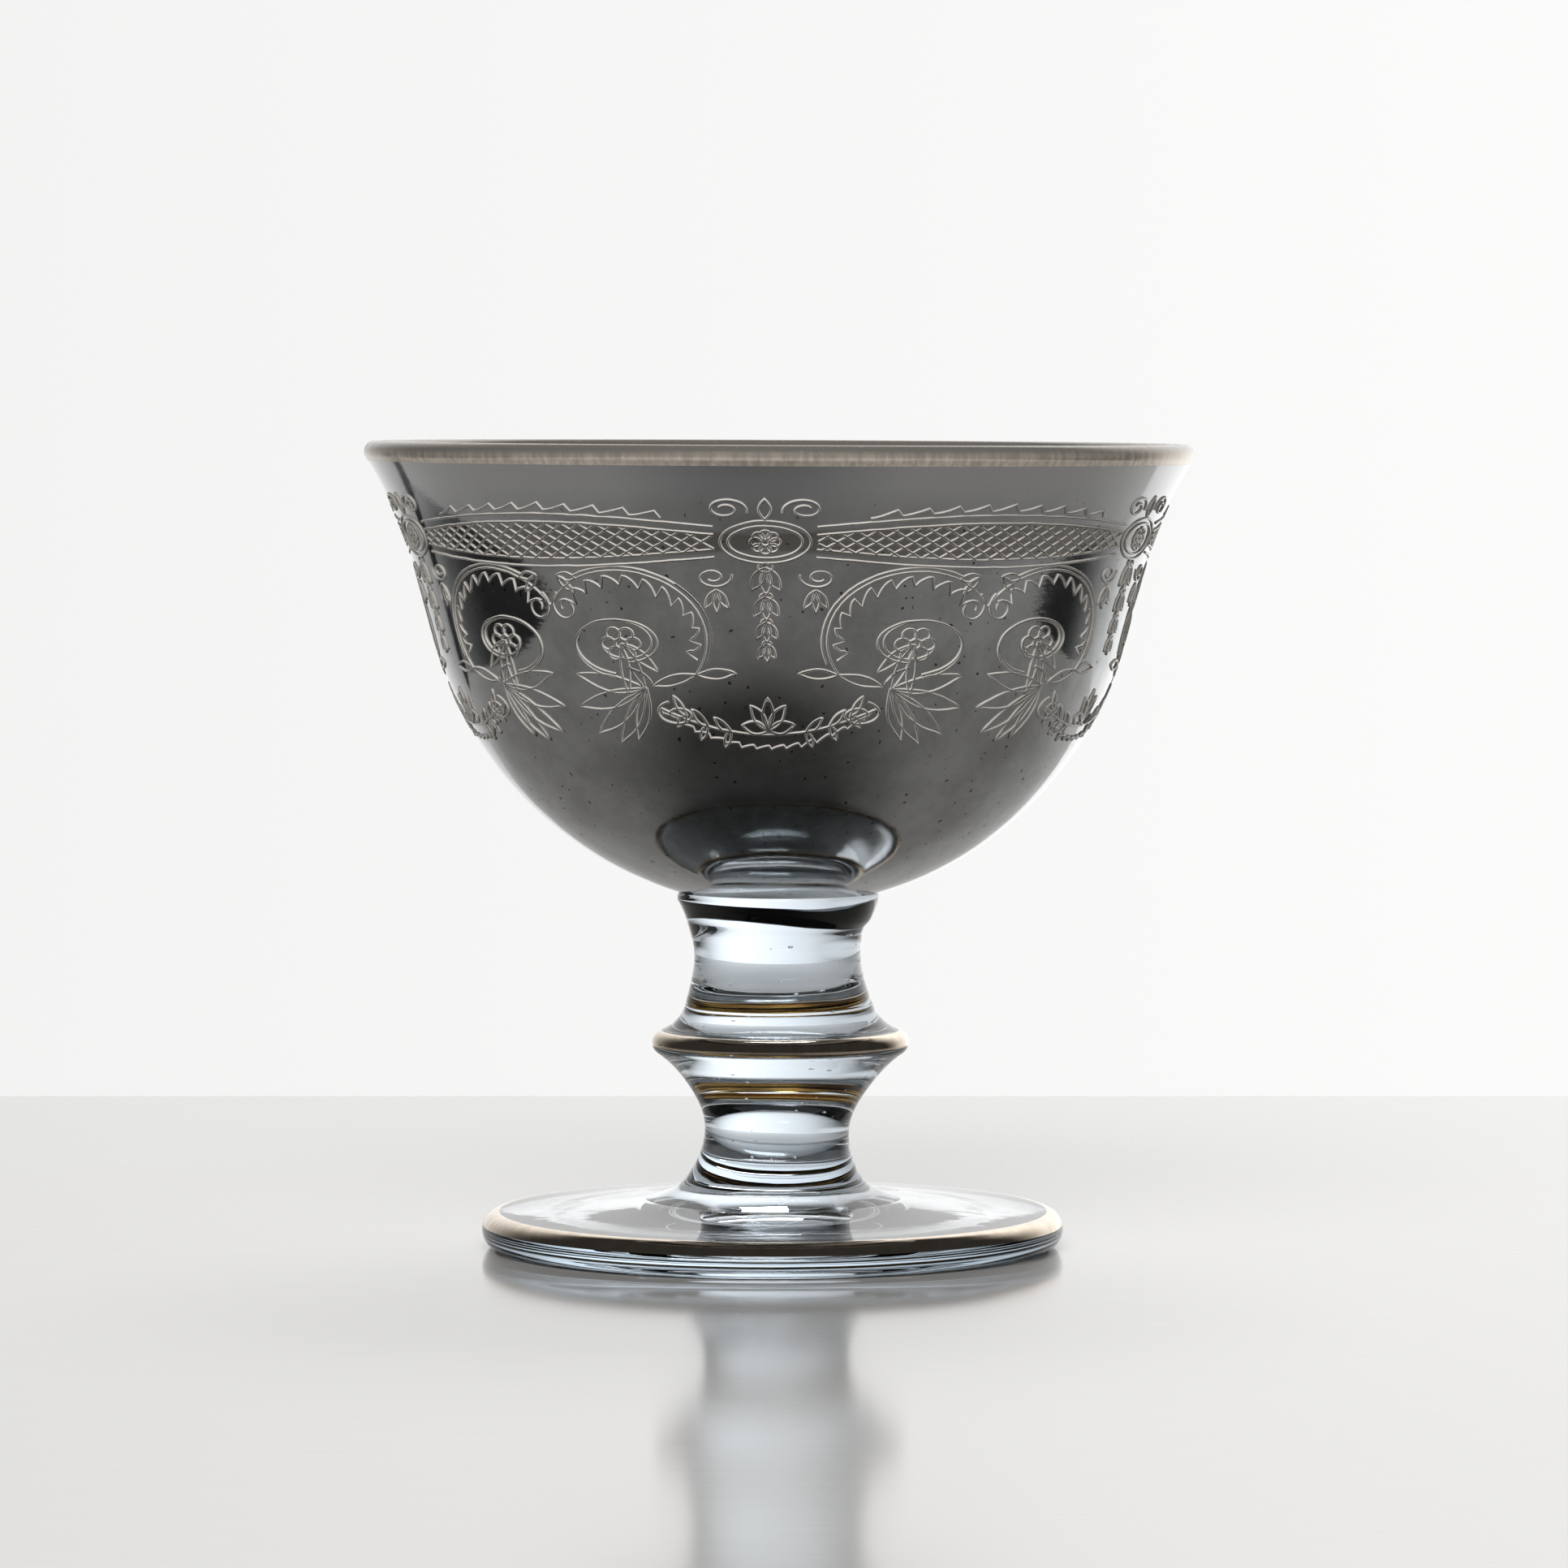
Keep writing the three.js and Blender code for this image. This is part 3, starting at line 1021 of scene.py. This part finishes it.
# Round lines half sunk in the coat, once for each repeat round the cup.
def raisedLines(name, strokes):
    curve = bpy.data.curves.new(name, "CURVE")
    curve.dimensions = "3D"
    curve.bevel_depth = ornament["lineRadius"] * millimetre
    curve.bevel_resolution = ornament["lineSides"]
    curve.use_fill_caps = True
    for repeat in range(ornament["repeats"]):
        away = ornament["firstTurn"] + repeat * 360 / ornament["repeats"]
        for stroke in strokes:
            places = [onCup(turn + away, height) for turn, height in stroke]
            spline = curve.splines.new("POLY")
            spline.points.add(len(places) - 1)
            for point, place in zip(spline.points, places):
                point.co = (*place, 1)
                grain = noise.noise(place / (ornament["swellSize"] * millimetre))
                point.radius = 1 + ornament["swell"] * grain
    holder = bpy.data.objects.new(name + "Curve", curve)
    mesh = bpy.data.meshes.new_from_object(holder)
    bpy.data.objects.remove(holder)
    bm = bmesh.new()
    bm.from_mesh(mesh)
    bpy.data.meshes.remove(mesh)
    bmesh.ops.recalc_face_normals(bm, faces=bm.faces)
    splitCrown(bm)
    placed(finished(name, bm, [flankPaintedHighlight, platinum]), "mirror_coat")


noise.seed_set(ornament["shakeSeed"])    # without a seed the shake follows the clock
raisedLines("latticeLines", latticeStrokes())
raisedLines("medallionLines", medallionStrokes() + huskStrokes())
raisedLines("scrollLines", scrollStrokes())
raisedLines("swagLines", swagStrokes())


# Table, room light and camera.

# One table top is seen, and a lower, smaller one is what the metal reflects, its base colour painted
# with shade near the bowl that pales further away.
table = {
    "backEdge": 0.229, "frontEdge": -1.3, "halfWidth": 1.4, "thickness": 0.03,
    "height": -0.00005, "lowerHeight": -0.0003, "rounding": 0.004, "roundingSteps": 5,
    "mirrorLeft": -0.25, "mirrorRight": 0.275, "mirrorFront": -0.36,
}


def makeTableTop(name, left, right, frontEdge, height, material):
    bm = bmesh.new()
    bmesh.ops.create_cube(bm, size=1.0)
    size = (right - left, table["backEdge"] - frontEdge, table["thickness"])
    bmesh.ops.scale(bm, vec=size, verts=bm.verts)
    middle = (
        (left + right) / 2, (table["backEdge"] + frontEdge) / 2, height - table["thickness"] / 2,
    )
    bmesh.ops.translate(bm, vec=middle, verts=bm.verts)
    bmesh.ops.bevel(
        bm, geom=bm.edges, offset=table["rounding"], segments=table["roundingSteps"],
        profile=0.5, affect="EDGES", material=-1,
    )
    top = finished(name, bm, [material])
    return top


tableLook = {
    "seen": (0.42, 0.41, 0.395, 1), "seenWorn": (0.46, 0.45, 0.435, 1),
    "paintedShadeNearBowl": (0.51, 0.495, 0.475, 1), "awayFromBowl": (0.92, 0.905, 0.88, 1),
    "paintedShadeReaches": (0.10, 0.36),
    "grainStretch": (1, 14, 1), "grainSize": 70.0, "grainDetail": 4.0, "grainGrit": 0.6,
    "polish": 0.085, "haze": 0.06, "refraction": 1.8,
}


# What the two tables share: brushed grain, and the roughness that follows it.
def brushedGrain(shader):
    look = tableLook
    grain = shader.noise(
        shader.place(look["grainStretch"]), look["grainSize"], look["grainDetail"], look["grainGrit"],
    )
    return grain, look["polish"] + grain * look["haze"]


def makeSeenTable():
    material, shader = newMaterial("paleTable")
    grain, roughness = brushedGrain(shader)
    finishSurface(shader, {
        "Base Color": shader.mixed(grain, tableLook["seen"], tableLook["seenWorn"]),
        "Roughness": roughness,
        "IOR": tableLook["refraction"],
    })
    return material


# Its base colour is painted shade near the bowl, fading to a much paler tone further out than the
# seen top.
def makeReflectedTable():
    material, shader = newMaterial("reflectedTable")
    _, roughness = brushedGrain(shader)
    away = shader.length(shader.place()).between(*tableLook["paintedShadeReaches"])
    finishSurface(shader, {
        "Base Color": shader.mixed(away, tableLook["paintedShadeNearBowl"], tableLook["awayFromBowl"]),
        "Roughness": roughness,
        "IOR": tableLook["refraction"],
    })
    return material


paleTable = makeSeenTable()
reflectedTable = makeReflectedTable()
seenTable = makeTableTop(
    "tableSeen", -table["halfWidth"], table["halfWidth"], table["frontEdge"],
    table["height"], paleTable,
)
mirrorTable = makeTableTop(
    "tableInReflections", table["mirrorLeft"], table["mirrorRight"], table["mirrorFront"],
    table["lowerHeight"], reflectedTable,
)
for what in ("visible_diffuse", "visible_glossy", "visible_shadow"):
    setattr(seenTable, what, False)
for what in ("visible_camera", "visible_transmission", "visible_shadow"):
    setattr(mirrorTable, what, False)


room = {
    "backdrop": 0.93, "backdropSlope": 0.32, "backdropMost": 0.97, "backdropLeast": 0.89,
    "tint": (1, 1, 0.995, 1),
    "window": 1.1, "windowSlope": 0.8, "windowSpan": (radians(12), radians(70)),
    "windowTop": (0.55, 0.75),
    "barSlope": 0.7, "barWidths": (0.0468, 0.078), "barSide": (0.0, -0.2), "barTop": (0.0, -0.05),
    "ambient": 0.03,
    "throughGlass": 0.75, "glassLevels": (0.06, 0.30),
    "lampPlace": (0.1, 0.62, 1.02), "lampSize": 0.45, "lampWatts": 6.8,
    "frontPlace": (-0.2, -1.3, 1.1), "frontSize": 1.2, "frontWatts": 34.0,
}


# The window behind the bowl, with one dark slanting bar on the left, below eye level.
def windowLight(x, y, z):
    beside = 1 - x.sum("ARCTAN2", x, y).size().between(*room["windowSpan"])
    window = beside * (1 - z.between(*room["windowTop"])) * (1 + x * room["windowSlope"])
    offBar = (x + y + z * room["barSlope"]).size()
    bar = 1 - offBar.between(*room["barWidths"])
    bar = bar * x.between(*room["barSide"]) * z.between(*room["barTop"])
    return window * (1 - bar)


def makeRoom():
    world = bpy.data.worlds.new("studio")
    bpy.context.scene.world = world
    world.use_nodes = True
    shader = Shader(world.node_tree)
    x, y, z = shader.axes(shader.node("ShaderNodeTexCoord", {}, {}).out("Generated"))
    rays = shader.node("ShaderNodeLightPath", {}, {})
    strength = windowLight(x, y, z) * (room["window"] - room["ambient"]) + room["ambient"]

    # Through the glass the backdrop goes all the way round, close to eye level.
    behindGlass = rays.out("Is Transmission Ray") * (1 - z.size().between(*room["glassLevels"]))
    strength = strength.sum("MAXIMUM", strength, behindGlass * room["throughGlass"])

    backdrop = x * room["backdropSlope"] + room["backdrop"]
    backdrop = backdrop.sum("MINIMUM", backdrop, room["backdropMost"])
    backdrop = backdrop.sum("MAXIMUM", backdrop, room["backdropLeast"])
    level = strength + rays.out("Is Camera Ray") * (backdrop - strength)
    light = shader.node("ShaderNodeBackground", {}, {"Color": room["tint"], "Strength": level})
    shader.node("ShaderNodeOutputWorld", {}, {"Surface": light.out(0)})


makeRoom()


def makeLamp(name, place, size, watts):
    lamp = bpy.data.lights.new(name, "AREA")
    lamp.shape = "SQUARE"
    lamp.size = size
    lamp.energy = watts
    holder = bpy.data.objects.new(name, lamp)
    holder.location = place
    holder.rotation_euler = (-Vector(place)).to_track_quat("-Z", "Y").to_euler()
    bpy.context.scene.collection.objects.link(holder)
    return holder


softBox = makeLamp("softBox", room["lampPlace"], room["lampSize"], room["lampWatts"])
softBox.visible_glossy = False
frontLight = makeLamp("frontLight", room["frontPlace"], room["frontSize"], room["frontWatts"])
frontLight.visible_glossy = False          # it lights matte surfaces and leaves no highlight
frontLight.visible_transmission = False
unlit = bpy.data.collections.new("unlitFromTheFront")
unlit.objects.link(mirrorTable)
unlit.collection_objects[0].light_linking.link_state = "EXCLUDE"
frontLight.light_linking.receiver_collection = unlit

viewpoint = {
    "place": (0.0017, -1.05, 0.124), "tilt": radians(3.09), "lens": 166.3, "sensor": 36,
    "nearest": 0.01,
}


def makeCamera():
    camera = bpy.data.cameras.new("camera")
    camera.lens = viewpoint["lens"]
    camera.sensor_width = viewpoint["sensor"]
    camera.clip_start = viewpoint["nearest"]
    holder = bpy.data.objects.new("camera", camera)
    holder.location = viewpoint["place"]
    holder.rotation_euler = (pi / 2 - viewpoint["tilt"], 0, 0)
    bpy.context.scene.collection.objects.link(holder)
    bpy.context.scene.camera = holder


makeCamera()
bpy.context.scene.view_settings.view_transform = "Standard"
print("room and camera made")
